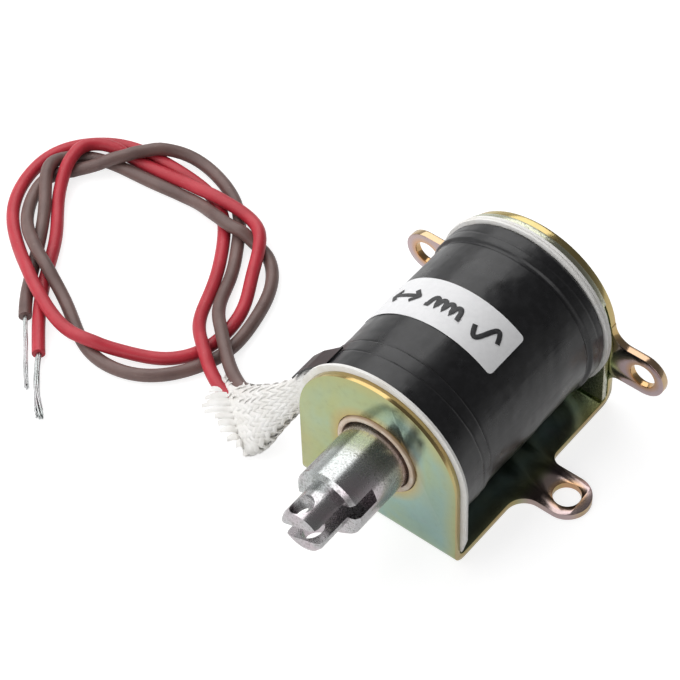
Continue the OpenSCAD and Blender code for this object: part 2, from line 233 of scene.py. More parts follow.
drawn = [easeRoute(evenRoute(smoothRoute([onBench(p) for p in leads[a] + leads[b]]), 1.2 * mm), 420) for a, b in (("redStart", "red"), ("brownStart", "brown"))]
redRoute, brownRoute = settle(drawn, leads["diameter"] * mm, leads["rounds"], 20)
redLead = cordTube("redLead", redRoute, leads["diameter"] * mm, 6)
brownLead = cordTube("brownLead", brownRoute, leads["diameter"] * mm, 6)
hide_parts("red_lead")
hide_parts("brown_lead")
print("leads laid", round(routeLength(redRoute), 4), round(routeLength(brownRoute), 4))


# small helpers for the node trees and meshes
def newMaterial(name):
    material = bpy.data.materials.new(name)
    material.use_nodes = True
    return material, material.node_tree, material.node_tree.nodes["Principled BSDF"]


def addNode(tree, kind, **settings):
    node = tree.nodes.new(kind)
    for key, value in settings.items():
        setattr(node, key, value)
    return node


def feed(tree, node, **values):
    for key, value in values.items():
        socket = node.inputs[key.replace("_", " ")] if not key.startswith("in") else node.inputs[int(key[2:])]
        if isinstance(value, bpy.types.NodeSocket):
            tree.links.new(value, socket)
        else:
            socket.default_value = value
    return node


def sums(tree, kind, a, b=0.0, c=0.0, clamp=False):
    node = addNode(tree, "ShaderNodeMath", operation=kind, use_clamp=clamp)
    return feed(tree, node, in0=a, in1=b, in2=c).outputs[0]


def ramp(tree, value, stops):
    node = addNode(tree, "ShaderNodeValToRGB")
    while len(node.color_ramp.elements) < len(stops):
        node.color_ramp.elements.new(0.5)
    for element, (place, colour) in zip(node.color_ramp.elements, stops):
        element.position = place
        element.color = (*colour, 1)
    tree.links.new(value, node.inputs[0])
    return node.outputs[0]


def blendColour(tree, amount, first, second, kind="MIX"):
    node = addNode(tree, "ShaderNodeMix", data_type="RGBA", blend_type=kind)
    for socket, value in zip((node.inputs[0], node.inputs[6], node.inputs[7]), (amount, first, second)):
        if isinstance(value, bpy.types.NodeSocket):
            tree.links.new(value, socket)
        else:
            socket.default_value = (*value, 1) if isinstance(value, tuple) and len(value) == 3 else value
    return node.outputs[2]


def spread(tree, value, low, high, outLow=0.0, outHigh=1.0):  # remaps a value
    node = addNode(tree, "ShaderNodeMapRange", clamp=True)
    return feed(tree, node, in0=value, in1=low, in2=high, in3=outLow, in4=outHigh).outputs[0]


def objectPlace(tree, scale=(1, 1, 1), turn=(0, 0, 0)):
    place = addNode(tree, "ShaderNodeTexCoord").outputs["Object"]
    mapping = addNode(tree, "ShaderNodeMapping")
    return feed(tree, mapping, Vector=place, Scale=scale, Rotation=turn).outputs[0]


def bump(tree, shader, height, strength, distance):
    node = addNode(tree, "ShaderNodeBump")
    feed(tree, node, Strength=strength, Distance=distance, Height=height)
    tree.links.new(node.outputs[0], shader.inputs["Normal"])


def newGroup(name, inputs, outputs):
    group = bpy.data.node_groups.new(name, "ShaderNodeTree")
    for label, kind, value in inputs:
        socket = group.interface.new_socket(label, in_out="INPUT", socket_type=kind)
        if value is not None:
            socket.default_value = value
    for label, kind in outputs:
        group.interface.new_socket(label, in_out="OUTPUT", socket_type=kind)
    return group, addNode(group, "NodeGroupInput"), addNode(group, "NodeGroupOutput")


def useGroup(tree, group, **values):
    node = addNode(tree, "ShaderNodeGroup", node_tree=group)
    return feed(tree, node, **values)


# uneven patches: noise pulled between two limits
patches, given, made = newGroup(
    "patches",
    [("Vector", "NodeSocketVector", None), ("Scale", "NodeSocketFloat", 500.0), ("Low", "NodeSocketFloat", 0.35), ("High", "NodeSocketFloat", 0.65)],
    [("Mask", "NodeSocketFloat")],
)
cloud = addNode(patches, "ShaderNodeTexNoise")
feed(patches, cloud, Vector=given.outputs["Vector"], Scale=given.outputs["Scale"], Detail=6.0, Roughness=0.6)
patches.links.new(spread(patches, cloud.outputs["Factor" if "Factor" in cloud.outputs else 0], given.outputs["Low"], given.outputs["High"]), made.inputs["Mask"])

# the colours that a thin passivated zinc film takes, from gold through pink to green and blue
zincFilm, given, made = newGroup(
    "zincFilm",
    [("Vector", "NodeSocketVector", None), ("Shift", "NodeSocketFloat", 0.0), ("Spread", "NodeSocketFloat", 0.5)],
    [("Colour", "NodeSocketColor")],
)
wide = addNode(zincFilm, "ShaderNodeTexNoise")
feed(zincFilm, wide, Vector=given.outputs["Vector"], Scale=70.0, Detail=3.0, Distortion=0.6)
film = sums(zincFilm, "MULTIPLY_ADD", sums(zincFilm, "SUBTRACT", wide.outputs[0], 0.5), given.outputs["Spread"], given.outputs["Shift"])
zincFilm.links.new(
    ramp(zincFilm, film, [
        (0.0, (0.52, 0.31, 0.12)), (0.14, (0.52, 0.42, 0.17)), (0.3, (0.42, 0.44, 0.19)), (0.46, (0.37, 0.46, 0.30)),
        (0.6, (0.31, 0.45, 0.41)), (0.74, (0.44, 0.47, 0.50)), (0.88, (0.54, 0.38, 0.48)), (1.0, (0.58, 0.40, 0.34)),
    ]),
    made.inputs["Colour"],
)

# fine scratches along one direction
hairlines, given, made = newGroup(
    "hairlines",
    [("Vector", "NodeSocketVector", None), ("Scale", "NodeSocketFloat", 900.0)],
    [("Mask", "NodeSocketFloat")],
)
lines = addNode(hairlines, "ShaderNodeTexNoise")
feed(hairlines, lines, Vector=given.outputs["Vector"], Scale=given.outputs["Scale"], Detail=4.0)
hairlines.links.new(spread(hairlines, lines.outputs[0], 0.4, 0.66), made.inputs["Mask"])


def separatePlace(tree):
    return feed(tree, addNode(tree, "ShaderNodeSeparateXYZ"), Vector=addNode(tree, "ShaderNodeTexCoord").outputs["Object"])


def distanceTo(tree, a, b, centreA, centreB):
    first = sums(tree, "POWER", sums(tree, "SUBTRACT", a, centreA), 2.0)
    second = sums(tree, "POWER", sums(tree, "SUBTRACT", b, centreB), 2.0)
    return sums(tree, "SQRT", sums(tree, "ADD", first, second))


zincFrame = {
    "faceFilm": 0.5,  # where on the film's colour scale the faces lie
    "filmSpread": 0.55,
    "rimWidth": 3.2,
    "haloWidth": 2.6,
    "roughness": (0.12, 0.22),
    "grime": 0.12,
}


def frameMaterial():
    material, tree, shader = newMaterial("zincFrame")
    place = separatePlace(tree)
    x, y, z = place.outputs
    where = objectPlace(tree)
    normal = feed(tree, addNode(tree, "ShaderNodeSeparateXYZ"), Vector=addNode(tree, "ShaderNodeTexCoord").outputs["Normal"])
    drift = spread(tree, x, -16 * mm, 14 * mm, zincFrame["faceFilm"] - 0.1, zincFrame["faceFilm"] + 0.09)
    base = useGroup(tree, zincFilm, Vector=where, Shift=drift, Spread=zincFrame["filmSpread"]).outputs[0]
    # rims of the arch, yellow green
    sideways = sums(tree, "ABSOLUTE", x)
    round_ = distanceTo(tree, x, z, 0.0, coilAxisZ)
    overTop = sums(tree, "GREATER_THAN", z, coilAxisZ)
    reach = addNode(tree, "ShaderNodeMix", data_type="FLOAT")
    feed(tree, reach, in0=overTop, in2=sideways, in3=round_)
    rim = spread(tree, reach.outputs[0], (18 - zincFrame["rimWidth"]) * mm, 18.1 * mm)
    rimShade = useGroup(tree, zincFilm, Vector=where, Shift=0.27, Spread=0.3).outputs[0]
    colour = blendColour(tree, sums(tree, "MULTIPLY", rim, 0.8), base, rimShade)
    # gold halo round the middle hole
    halo = spread(tree, round_, 8.8 * mm, (8.8 + zincFrame["haloWidth"]) * mm, 1.0, 0.0)
    colour = blendColour(tree, sums(tree, "MULTIPLY", halo, 0.8), colour, (0.52, 0.36, 0.11))
    # lugs, pink to violet with golden hole rims
    lugs = spread(tree, sideways, 18.3 * mm, 20.5 * mm)
    lugShade = useGroup(tree, zincFilm, Vector=where, Shift=0.9, Spread=0.25).outputs[0]
    colour = blendColour(tree, sums(tree, "MULTIPLY", lugs, 0.75), colour, lugShade)
    holeLow = distanceTo(tree, sideways, y, 25.4 * mm, 0.0)
    holeRear = distanceTo(tree, sideways, z, 25.4 * mm, 13.5 * mm)
    nearHole = sums(tree, "MINIMUM", holeLow, holeRear)
    golden = spread(tree, nearHole, 2.9 * mm, 4.0 * mm, 1.0, 0.0)
    colour = blendColour(tree, sums(tree, "MULTIPLY", golden, 0.7), colour, (0.66, 0.36, 0.14))
    # cut edges, tan and pink
    flatness = sums(tree, "MAXIMUM", sums(tree, "ABSOLUTE", normal.outputs[1]), sums(tree, "MULTIPLY", sums(tree, "ABSOLUTE", normal.outputs[2]), sums(tree, "LESS_THAN", z, 2.2 * mm)))
    cutEdge = spread(tree, flatness, 0.75, 0.35)
    edgeTint = useGroup(tree, zincFilm, Vector=where, Shift=0.06, Spread=0.35).outputs[0]
    colour = blendColour(tree, sums(tree, "MULTIPLY", cutEdge, 0.65), colour, edgeTint)
    grime = useGroup(tree, patches, Vector=where, Scale=900.0, Low=0.52, High=0.72).outputs[0]
    colour = blendColour(tree, sums(tree, "MULTIPLY", grime, zincFrame["grime"]), colour, (0.16, 0.15, 0.10))
    feed(tree, shader, Base_Color=colour, Metallic=1.0)
    rough = useGroup(tree, patches, Vector=where, Scale=260.0, Low=0.3, High=0.7).outputs[0]
    feed(tree, shader, Roughness=spread(tree, rough, 0.0, 1.0, *zincFrame["roughness"]))
    streaks = useGroup(tree, hairlines, Vector=objectPlace(tree, (1, 1, 0.08), (0, 0.5, 0)), Scale=1600.0).outputs[0]
    bump(tree, shader, streaks, 0.05, 0.00003)
    return material


turnedSteel = {"colour": (0.56, 0.56, 0.54), "roughness": (0.2, 0.42), "filmShare": 0.45}


def steelMaterial(name, shift=0.78, ringed=True):
    material, tree, shader = newMaterial(name)
    where = objectPlace(tree)
    tint = useGroup(tree, zincFilm, Vector=where, Shift=shift, Spread=0.7).outputs[0]
    colour = blendColour(tree, turnedSteel["filmShare"], turnedSteel["colour"], tint)
    specks = useGroup(tree, patches, Vector=where, Scale=2400.0, Low=0.46, High=0.62).outputs[0]
    clouds = useGroup(tree, patches, Vector=where, Scale=160.0, Low=0.4, High=0.6).outputs[0]
    dull = sums(tree, "MULTIPLY", specks, sums(tree, "MULTIPLY_ADD", clouds, 0.7, 0.3))
    colour = blendColour(tree, sums(tree, "MULTIPLY", dull, 0.6), colour, (0.17, 0.17, 0.15))
    feed(tree, shader, Base_Color=colour, Metallic=1.0)
    feed(tree, shader, Roughness=spread(tree, dull, 0.0, 1.0, *turnedSteel["roughness"]))
    rings = useGroup(tree, hairlines, Vector=objectPlace(tree, (0.02, 1, 0.02)), Scale=1500.0).outputs[0]
    bump(tree, shader, rings if ringed else specks, 0.1, 0.00004)
    return material


def cardMaterial():
    material, tree, shader = newMaterial("insulatingCard")
    where = objectPlace(tree)
    fibres = useGroup(tree, patches, Vector=objectPlace(tree, (1, 3, 1)), Scale=1200.0, Low=0.3, High=0.75).outputs[0]
    stains = useGroup(tree, patches, Vector=where, Scale=220.0, Low=0.5, High=0.75).outputs[0]
    colour = blendColour(tree, fibres, (0.86, 0.85, 0.83), (0.78, 0.77, 0.74))
    colour = blendColour(tree, sums(tree, "MULTIPLY", stains, 0.35), colour, (0.62, 0.55, 0.44))
    feed(tree, shader, Base_Color=colour, Roughness=0.62)
    bump(tree, shader, fibres, 0.15, 0.00005)
    return material


def tubeMaterial():
    material, tree, shader = newMaterial("guideTube")
    where = objectPlace(tree)
    x, y, z = separatePlace(tree).outputs
    around = distanceTo(tree, x, z, 0.0, coilAxisZ)
    # painted shade: darkens the tube's inner and outer walls and the edges of its front ring towards brown, away from
    # the ring's middle radius
    wallShade = spread(tree, sums(tree, "ABSOLUTE", sums(tree, "SUBTRACT", around, 8.25 * mm)), 0.25 * mm, 0.62 * mm)
    smear = useGroup(tree, patches, Vector=where, Scale=420.0, Low=0.35, High=0.7).outputs[0]
    colour = blendColour(tree, smear, (0.80, 0.70, 0.58), (0.66, 0.50, 0.36))
    # blends the painted wall shade into the tube colour
    colour = blendColour(tree, sums(tree, "MULTIPLY", wallShade, 0.7), colour, (0.30, 0.17, 0.08))
    feed(tree, shader, Base_Color=colour, Roughness=0.45, IOR=1.5)
    bump(tree, shader, smear, 0.2, 0.00006)
    return material


def tapeMaterial():
    material, tree, shader = newMaterial("blackTape")
    where = objectPlace(tree)
    dust = useGroup(tree, patches, Vector=where, Scale=700.0, Low=0.45, High=0.8).outputs[0]
    colour = blendColour(tree, dust, (0.006, 0.006, 0.007), (0.016, 0.016, 0.018))
    feed(tree, shader, Base_Color=colour)
    soft = useGroup(tree, patches, Vector=where, Scale=160.0, Low=0.3, High=0.7).outputs[0]
    feed(tree, shader, Roughness=spread(tree, soft, 0.0, 1.0, 0.24, 0.38))
    stretch = useGroup(tree, hairlines, Vector=objectPlace(tree, (1, 0.12, 1), (0, 0, 0.2)), Scale=420.0).outputs[0]
    bump(tree, shader, stretch, 0.14, 0.00012)
    return material


def wireMaterial(name, light, dark, worn):
    material, tree, shader = newMaterial(name)
    where = objectPlace(tree)
    cloud = useGroup(tree, patches, Vector=where, Scale=150.0, Low=0.3, High=0.7).outputs[0]
    scuff = useGroup(tree, patches, Vector=where, Scale=1400.0, Low=0.62, High=0.74).outputs[0]
    colour = blendColour(tree, cloud, light, dark)
    colour = blendColour(tree, sums(tree, "MULTIPLY", scuff, 0.35), colour, worn)
    feed(tree, shader, Base_Color=colour)
    feed(tree, shader, Roughness=spread(tree, cloud, 0.0, 1.0, 0.38, 0.5))
    bump(tree, shader, useGroup(tree, patches, Vector=where, Scale=900.0, Low=0.3, High=0.8).outputs[0], 0.12, 0.00005)
    return material


def fibreMaterial():
    material, tree, shader = newMaterial("glassFibre")
    where = objectPlace(tree)
    cloud = useGroup(tree, patches, Vector=where, Scale=260.0, Low=0.35, High=0.7).outputs[0]
    colour = blendColour(tree, cloud, (0.88, 0.87, 0.85), (0.76, 0.74, 0.70))
    feed(tree, shader, Base_Color=colour, Roughness=0.5, Sheen_Weight=0.3, Subsurface_Weight=0.0)
    bump(tree, shader, useGroup(tree, hairlines, Vector=objectPlace(tree, (1, 1, 1), (0, 0.6, 0.3)), Scale=2600.0).outputs[0], 0.25, 0.00005)
    return material


def labelMaterial():
    material, tree, shader = newMaterial("ratingLabel")
    where = objectPlace(tree)
    fleck = useGroup(tree, patches, Vector=where, Scale=900.0, Low=0.4, High=0.8).outputs[0]
    colour = blendColour(tree, fleck, (0.80, 0.80, 0.81), (0.74, 0.74, 0.75))
    feed(tree, shader, Base_Color=colour, Roughness=0.5)
    bump(tree, shader, fleck, 0.1, 0.00003)
    return material


def inkMaterial():
    material, tree, shader = newMaterial("printedInk")
    fleck = useGroup(tree, patches, Vector=objectPlace(tree), Scale=1500.0, Low=0.4, High=0.8).outputs[0]
    feed(tree, shader, Base_Color=blendColour(tree, fleck, (0.02, 0.02, 0.022), (0.05, 0.05, 0.052)), Roughness=0.5)
    return material


def copperMaterial(name, light, dark):
    material, tree, shader = newMaterial(name)
    turns = useGroup(tree, hairlines, Vector=objectPlace(tree, (0.02, 1, 0.02)), Scale=2600.0).outputs[0]
    feed(tree, shader, Base_Color=blendColour(tree, turns, light, dark), Metallic=0.9, Roughness=0.35)
    bump(tree, shader, turns, 0.4, 0.0001)
    return material


finish = {
    "zinc_frame": frameMaterial(),
    "plunger_steel": steelMaterial("turnedPlunger"),
    "pole_steel": steelMaterial("poleSteel", 0.3, False),
    "card": cardMaterial(),
    "tube_nylon": tubeMaterial(),
    "black_tape": tapeMaterial(),
    "red_insulation": wireMaterial("redInsulation", (0.56, 0.035, 0.055), (0.44, 0.02, 0.035), (0.62, 0.2, 0.2)),
    "brown_insulation": wireMaterial("brownInsulation", (0.19, 0.118, 0.105), (0.125, 0.075, 0.068), (0.3, 0.22, 0.2)),
    "sleeve_weave": fibreMaterial(),
    "label_paper": labelMaterial(),
    "winding_copper": copperMaterial("enamelledCopper", (0.70, 0.34, 0.14), (0.34, 0.13, 0.05)),
    "shading_copper": copperMaterial("bareCopper", (0.80, 0.46, 0.28), (0.62, 0.33, 0.18)),
    "tinned_wire": steelMaterial("tinnedWire", 0.74, False),
}
finish["wrap_paper"] = finish["card"]
ink = inkMaterial()


def wear(piece, slotName):
    piece.data.materials.clear()
    piece.data.materials.append(finish[slotName])


for part in frame["record"]["subparts"]:
    node = frame["nodes"][part["node"]]
    node.data.materials.clear()
    node.data.materials.append(finish[part["material_slot"]])
wear(redLead, "red_insulation")
wear(brownLead, "brown_insulation")
print("materials made")


def meshPiece(name, bm, body=bodyHousing, smooth=35):
    mesh = bpy.data.meshes.new(name)
    bm.to_mesh(mesh)
    bm.free()
    piece = bpy.data.objects.new(name, mesh)
    scene.collection.objects.link(piece)
    mesh.shade_smooth()
    mesh.set_sharp_from_angle(angle=math.radians(smooth))
    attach(piece, body)
    return piece


def softened(name, node, slotName, width, body=bodyHousing, segments=2, angle=25):
    """rounds the edges"""
    bm = bmesh.new()
    bm.from_mesh(frame["nodes"][node].data)
    bmesh.ops.remove_doubles(bm, verts=bm.verts, dist=0.000002)
    bmesh.ops.dissolve_limit(bm, angle_limit=math.radians(0.5), verts=bm.verts, edges=bm.edges)
    sharp = [e for e in bm.edges if len(e.link_faces) == 2 and e.calc_face_angle(0) > math.radians(angle)]
    bmesh.ops.bevel(bm, geom=sharp, offset=width * mm, offset_type="OFFSET", segments=segments, profile=0.5, affect="EDGES", clamp_overlap=True, material=-1)
    piece = meshPiece(name, bm, body, 30)
    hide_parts(node)
    wear(piece, slotName)
    return piece


softened("bentFrame", "frame", "zinc_frame", 0.14)
softened("polePlate", "pole_plate", "pole_steel", 0.12)
softened("guideTube", "guide_tube", "tube_nylon", 0.2)
softened("frontCard", "front_card", "card", 0.08)
softened("rearCardInner", "rear_card_inner", "card", 0.1)
softened("rearCardOuter", "rear_card_outer", "card", 0.1)
print("hard parts softened")


# tape wound over the coil, with its bands and creases
tape = {
    "front": -22.8,
    "rear": 20.3,
    "radius": 18.22,
    "frontBand": (-15.2, 0.26),
    "secondEdge": (-17.6, 0.12),
    "rearBand": (15.8, 0.55),
    "turns": 216,
    "steps": 230,
    "wobble": 0.16,
}


def tapeRadius(y, angle):
    radius = tape["radius"]
    edge, rise = tape["frontBand"]
    edge += 0.5 * math.sin(angle * 1.0 + 0.6)
    radius += rise * (1 - smoothStep(y, edge - 0.12, edge + 0.12)) - 0.14 * math.exp(-((y - edge - 0.25) / 0.16) ** 2)
    edge, rise = tape["secondEdge"]
    edge += 0.7 * math.sin(angle + 2.1)
    radius += rise * (1 - smoothStep(y, edge - 0.1, edge + 0.1)) - 0.12 * math.exp(-((y - edge - 0.22) / 0.15) ** 2)
    edge, rise = tape["rearBand"]
    edge += 0.35 * math.sin(angle * 2 + 1)
    radius += rise * smoothStep(y, edge - 0.3, edge + 0.3) - 0.12 * math.exp(-((y - edge + 0.5) / 0.25) ** 2)
    radius -= 0.1 * math.exp(-((y - edge - 2.1 - 0.3 * math.sin(angle * 3)) / 0.2) ** 2)
    radius -= 0.35 * smoothStep(y, tape["rear"] - 0.5, tape["rear"])
    spot = Vector((math.cos(angle) * 2.4, y * 0.16, math.sin(angle) * 2.4))
    radius += tape["wobble"] * noise.noise(spot)
    radius += 0.05 * noise.noise(Vector((math.cos(angle) * 9, y * 0.5, math.sin(angle) * 9)))
    return radius


def smoothStep(value, low, high):
    t = min(max((value - low) / (high - low), 0), 1)
    return t * t * (3 - 2 * t)


def tapedCoil():
    bm = bmesh.new()
    length = tape["rear"] - tape["front"]
    previous = None
    for i in range(tape["steps"] + 1):
        y = tape["front"] + length * i / tape["steps"]
        vert = bm.verts.new((tape["radius"] * mm, y * mm, 0))
        if previous:
            bm.edges.new((previous, vert))
        previous = vert
    bmesh.ops.spin(bm, geom=bm.verts[:] + bm.edges[:], cent=(0, 0, 0), axis=(0, 1, 0), angle=math.tau, steps=tape["turns"], use_merge=True)
    bmesh.ops.remove_doubles(bm, verts=bm.verts, dist=0.000001)
    for vert in bm.verts:
        y = vert.co.y / mm
        angle = math.atan2(vert.co.z, vert.co.x)
        radius = tapeRadius(y, angle)
        vert.co.x = math.cos(angle) * radius * mm
        vert.co.z = max(math.sin(angle) * radius * mm + coilAxisZ, 1.7 * mm)
    bmesh.ops.holes_fill(bm, edges=[e for e in bm.edges if e.is_boundary], sides=0)
    bmesh.ops.recalc_face_normals(bm, faces=bm.faces)
    piece = meshPiece("tapedCoil", bm, bodyHousing, 50)
    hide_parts("coil_tape", "front_tape_band", "rear_tape_band")
    wear(piece, "black_tape")


tapedCoil()
print("coil taped")


# label wrapped round the tape, with plain circuit marks printed on it
label = {
    "front": -7.0,
    "width": 10.7,
    "lowAngle": 41.0,
    "sweep": 107.0,
    "radius": 18.42,
    "corner": 0.9,
    "thickness": 0.1,
    "stroke": 0.5,
    "height": 5.4,
}


def wrapOnCoil(bm, radius):
    for vert in bm.verts:  # x runs along the label from its lower end, y across it, z stands out
        angle = math.radians(90 - label["lowAngle"]) + vert.co.x / (radius * mm)
        out = radius * mm + vert.co.z
        vert.co = Vector((math.cos(angle) * out, vert.co.y, math.sin(angle) * out + coilAxisZ))


def wrappedLabel():
    length = math.radians(label["sweep"]) * label["radius"]
    bm = bmesh.new()
    bmesh.ops.create_grid(bm, x_segments=1, y_segments=1, size=0.5)
    for vert in bm.verts:
        vert.co = Vector(((vert.co.x + 0.5) * length, (vert.co.y + 0.5) * label["width"] + label["front"], 0)) * mm
    bmesh.ops.bevel(bm, geom=bm.verts[:], offset=label["corner"] * mm, offset_type="OFFSET", segments=6, profile=0.5, affect="VERTICES", material=-1)
    for i in range(1, 72):
        cut = length * mm * i / 72
        bmesh.ops.bisect_plane(bm, geom=bm.verts[:] + bm.edges[:] + bm.faces[:], plane_co=(cut, 0, 0), plane_no=(1, 0, 0))
    bmesh.ops.solidify(bm, geom=bm.faces[:], thickness=label["thickness"] * mm)
    wrapOnCoil(bm, label["radius"])
    bmesh.ops.recalc_face_normals(bm, faces=bm.faces)
    piece = meshPiece("wrappedLabel", bm, bodyHousing, 30)
    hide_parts("rating_label")
    wear(piece, "label_paper")


def line(start, end):
    return [tuple(start[k] + (end[k] - start[k]) * t / 10 for k in (0, 1)) for t in range(11)]


def markStrokes():
    middle = label["front"] + label["width"] / 2
    half = label["height"] / 2
    strokes = []
    strokes.append([(3.0 + 5.4 * t / 24, middle + half * 0.8 * math.sin(math.tau * t / 24)) for t in range(25)])  # alternating current
    coilStroke = [(11.0, middle - half * 0.5)]
    for loop in range(4):
        coilStroke += [(11.6 + loop * 1.7 + 0.85 - 0.85 * math.cos(math.pi * t / 12), middle - half * 0.5 + 2.3 * math.sin(math.pi * t / 12)) for t in range(13)]
    coilStroke.append((19.0, middle - half * 0.5))
    strokes.append(coilStroke)
    strokes.append(line((21.4, middle), (28.6, middle)))  # push pull arrow
    strokes.append(line((23.0, middle - 1.5), (21.4, middle)) + line((21.4, middle), (23.0, middle + 1.5)))
    strokes.append(line((27.0, middle - 1.5), (28.6, middle)) + line((28.6, middle), (27.0, middle + 1.5)))
    return strokes


def printedMarks():
    bm = bmesh.new()
    for stroke in markStrokes():
        data = bpy.data.curves.new("stroke", "CURVE")
        data.dimensions = "3D"
        data.bevel_depth = label["stroke"] * mm
        data.bevel_resolution = 2
        data.use_fill_caps = True
        spline = data.splines.new("POLY")
        spline.points.add(len(stroke) - 1)
        for point, place in zip(spline.points, stroke):
            point.co = (place[0] * mm, place[1] * mm, 0, 1)
        part = fromCurve(data)
        mesh = bpy.data.meshes.new("stroke")
        part.to_mesh(mesh)
        part.free()
        bm.from_mesh(mesh)
        bpy.data.meshes.remove(mesh)
    for vert in bm.verts:
        vert.co.z = max(vert.co.z, 0) * 0.08
    bmesh.ops.remove_doubles(bm, verts=bm.verts, dist=0.000001)
    wrapOnCoil(bm, label["radius"] + label["thickness"])
    piece = meshPiece("printedMarks", bm, bodyHousing, 60)
    piece.data.materials.append(ink)


wrappedLabel()
printedMarks()
print("label on")


# woven sleeve: braided bundles of glass filament that fray at the mouth
sleeve = {
    "upper": [(-0.8, 4.1, 26.8), (-6, 4.3, 19), (-13, 5.5, 11.2), (-19, 7, 5.2), (-24.7, 8.3, 2.3)],
    "lower": [(-0.8, 4.1, 16.4), (-3, 2.5, 13), (-6, 0.5, 7.5), (-8, -2, 3), (-10, -3.5, 1.2)],
    "half": [1.6, 1.8, 2.0, 2.0, 1.7],
    "yarns": 22,
    "cover": 0.9,
    "twist": 0.45,
    "thick": 0.16,
    "lift": 0.17,
    "fray": 4.8,
    "fan": (-0.77, -0.64),
}


def alongStations(values, u):
    place = min(max(u, 0), 0.9999) * (len(values) - 1)
    i = int(place)
    t = place - i
    a, b, c, d = values[max(i - 1, 0)], values[i], values[i + 1], values[min(i + 2, len(values) - 1)]
    return 0.5 * (b * 2 + (c - a) * t + (a * 2 - b * 5 + c * 4 - d) * t * t + (b * 3 - a - c * 3 + d) * t ** 3)


upperEdge = [onBench(p) for p in sleeve["upper"]]
lowerEdge = [onBench(p) for p in sleeve["lower"]]
sleeveMiddle = [(a + b) / 2 for a, b in zip(upperEdge, lowerEdge)]
sleeveSpan = [(a - b) / 2 for a, b in zip(upperEdge, lowerEdge)]


def sleevePoint(u, angle, out, fray=0.0):
    middle = alongStations(sleeveMiddle, u)
    span = alongStations(sleeveSpan, u)
    heading = (alongStations(sleeveMiddle, min(u + 0.04, 1)) - alongStations(sleeveMiddle, max(u - 0.04, 0))).normalized()
    thick = heading.cross(span).normalized()
    half = alongStations(sleeve["half"], u) * mm
    c, s = math.cos(angle), math.sin(angle)
    across = math.asin(max(min(c, 1), -1)) / (math.pi / 2)
    up = math.copysign((1 - abs(across) ** 3) ** (1 / 3), s)
    point = middle + span * (1 + out * mm / span.length) * across + thick * (half + out * mm) * up
    if fray > 0:
        reach = sleeve["fray"] * max(1 - across * across, 0) ** 1.2 * (1 + 0.3 * across) + 0.7
        top = 3.3 * mm if point.z > 1.7 * mm else point.z
        point.x += sleeve["fan"][0] * reach * fray * mm
        point.y += sleeve["fan"][1] * reach * fray * mm
        point.z += (top - point.z) * smoothStep(fray, 0, 0.4) * (abs(across) < 0.9) - 0.9 * mm * smoothStep(fray, 0.5, 1.2)
    return point


def wovenSleeve():
    dice = random.Random(7)
    bm = bmesh.new()
    count = sleeve["yarns"]
    for way in (-1, 1):
        for i in range(count):
            tuft = dice.uniform(0.7, 1.08)
            swerve = dice.uniform(-0.5, 0.5)
            centres, outs = [], []
            for k in range(74):
                u = k / 64
                fray = max(u - 1, 0) / 0.14 * tuft
                u = min(u, 1)
                angle = math.tau * (i / count + way * sleeve["twist"] * u) + swerve * 0.1 * smoothStep(u, 0.7, 1)
                loose = smoothStep(u, 0.8, 1.0)
                lift = way * sleeve["lift"] * math.cos(math.pi * (i + way * sleeve["twist"] * u * count - 0.25)) * (1 - 0.4 * loose)
                centres.append(sleevePoint(u, angle, lift, fray))
                outs.append((sleevePoint(u, angle, lift + 0.4) - sleevePoint(u, angle, lift)).normalized())
                if fray > 0.02:
                    outs[-1] = Vector((0, 0, math.copysign(1, outs[-1].z)))
            rings = []
            for k, (centre, out) in enumerate(zip(centres, outs)):
                u = min(k / 64, 1)
                run = (centres[min(k + 1, len(centres) - 1)] - centres[max(k - 1, 0)]).normalized()
                side = run.cross(out).normalized()
                round_ = 4 * alongStations(sleeveSpan, u).length + 4 * alongStations(sleeve["half"], u) * mm
                width = round_ / count * sleeve["cover"] / 2 * 0.8
                end = 1 - 0.35 * smoothStep(k, 69, 73)
                ring = []
                for m in range(8):
                    turn = math.tau * m / 8
                    place = centre + side * width * end * math.cos(turn) + out * sleeve["thick"] * mm * math.sin(turn)
                    place.z = max(place.z, 0.02 * mm)
                    ring.append(bm.verts.new(place))
                rings.append(ring)
            for a, b in zip(rings, rings[1:]):
                for m in range(8):
                    bm.faces.new((a[m], a[(m + 1) % 8], b[(m + 1) % 8], b[m]))
            bm.faces.new(rings[0])
            bm.faces.new(rings[-1])
    bmesh.ops.recalc_face_normals(bm, faces=bm.faces)
    piece = meshPiece("wovenSleeve", bm, bodyHousing, 70)
    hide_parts("lead_sleeve")
    wear(piece, "sleeve_weave")
    return piece


def sleeveLining():
    bm = bmesh.new()
    bmesh.ops.create_grid(bm, x_segments=40, y_segments=64, size=0.5)
    for vert in bm.verts:
        vert.co = sleevePoint((vert.co.x + 0.5) * 0.97, (vert.co.y + 0.5) * math.tau, -0.28)
    bmesh.ops.remove_doubles(bm, verts=bm.verts, dist=0.000001)
    bmesh.ops.recalc_face_normals(bm, faces=bm.faces)
    bmesh.ops.solidify(bm, geom=bm.faces[:], thickness=0.1 * mm)
    piece = meshPiece("sleeveLining", bm, bodyHousing, 80)
    wear(piece, "sleeve_weave")
    return piece


weave = wovenSleeve()
lining = sleeveLining()
print("sleeve woven", len(weave.data.polygons))


# stripped ends: twisted tinned strands
strippedEnds = {
    "red": {"route": [(-58.5, -9.5, 1.5), (-56.5, -12.2, 1.3), (-54.8, -14.3, 1.0), (-52.7, -16.6, 0.8), (-50.4, -18.8, 0.8), (-48, -21, 0.7)], "strand": 0.22, "ring": 0.38, "splay": 0.8, "turns": 0.45},
    "brown": {"route": [(-67, -4, 1.5), (-65, -6.2, 1.2), (-62.8, -8.6, 0.9), (-60, -11.8, 0.6), (-57.4, -14.6, 0.55), (-55, -17, 0.5)], "strand": 0.17, "ring": 0.28, "splay": 0.1, "turns": 0.5},
}


